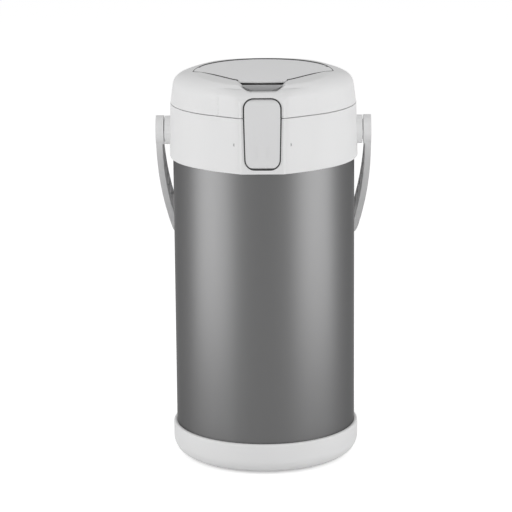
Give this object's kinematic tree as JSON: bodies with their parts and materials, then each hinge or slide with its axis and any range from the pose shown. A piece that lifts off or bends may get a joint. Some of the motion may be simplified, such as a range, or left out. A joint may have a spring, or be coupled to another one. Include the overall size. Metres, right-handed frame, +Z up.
{
  "type": "pump pot",
  "caption": "Vacuum pump pot with a painted case, hinged lid with a press plate, fold-down spout panel and swinging carry bail",
  "frame": {"origin": "centre of the rubber foot on the floor, on the pot's axis", "axes": "+Z up along the pot's axis, -Y towards the spout panel (the front), +X to the right when the front is seen"},
  "size_m": [0.1718, 0.171, 0.3168],
  "materials": {
    "case_paint": "satin grey paint",
    "shell_plastic": "semi-gloss off-white",
    "panel_plastic": "satin, a shade greyer than the shell",
    "plate_plastic": "satin off-white",
    "tab_plastic": "matt mid-grey",
    "cap_plastic": "semi-gloss off-white",
    "inner_plastic": "fine matt",
    "seal_silicone": "milky silicone",
    "bellows_rubber": "translucent grey",
    "foot_rubber": "matt dark grey",
    "liner_steel": "brushed stainless",
    "screw_steel": "zinc-bright steel"
  },
  "bodies": {
    "pot": {"base_cup": "shell_plastic", "foot_ring": "foot_rubber", "base_screws": "screw_steel", "outer_case": "case_paint", "liner_support": "inner_plastic", "liner_cushion": "foot_rubber", "liner_jacket": "liner_steel", "liner_flask": "liner_steel", "vacuum_cap": "liner_steel", "shoulder_ring": "shell_plastic", "neck_gasket": "seal_silicone", "mouth_collar": "inner_plastic", "collar_screws": "screw_steel", "stopper_body": "inner_plastic", "stopper_gasket": "seal_silicone", "dip_tube": "liner_steel", "tip_valve_ball": "liner_steel", "elbow_pipe": "inner_plastic", "outlet_nozzle": "inner_plastic", "port_seal": "seal_silicone", "spout_pin": "screw_steel", "spout_spring": "screw_steel", "pin_plugs": "tab_plastic", "bail_pins": "cap_plastic", "bail_washers": "screw_steel", "hinge_pin": "screw_steel"},
    "lid": {"lid_dome": "shell_plastic", "lid_base": "inner_plastic", "lid_gasket": "seal_silicone", "lid_screws": "screw_steel", "air_valve_flap": "seal_silicone", "bellows": "bellows_rubber", "return_spring": "screw_steel"},
    "press": {"push_plate": "plate_plastic", "bellows_plate": "inner_plastic", "plate_screws": "screw_steel"},
    "tab": {"latch_tab": "tab_plastic", "tab_spring": "screw_steel"},
    "spout": {"spout_panel": "panel_plastic"},
    "bail": {"bail_handle": "shell_plastic"}
  },
  "joints": [
    {"name": "lid_hinge", "type": "hinge", "parent": "pot", "child": "lid", "pos_m": [0, 0.0792, 0.2885], "axis": [-1, 0, 0], "range_deg": [0, 95]},
    {"name": "press_slide", "type": "slide", "parent": "lid", "child": "press", "axis": [0, 0, -1], "range_m": [0, 0.014], "stiffness_N_per_m": 900, "deforming": ["bellows", "return_spring"]},
    {"name": "tab_slide", "type": "slide", "parent": "lid", "child": "tab", "axis": [0, 1, 0], "range_m": [0, 0.0024], "stiffness_N_per_m": 600},
    {"name": "spout_tilt", "type": "hinge", "parent": "pot", "child": "spout", "pos_m": [0, -0.0715, 0.2688], "axis": [1, 0, 0], "range_deg": [0, 100]},
    {"name": "bail_swing", "type": "hinge", "parent": "pot", "child": "bail", "pos_m": [0, 0, 0.2668], "axis": [1, 0, 0], "range_deg": [0, 281.2]}
  ]
}
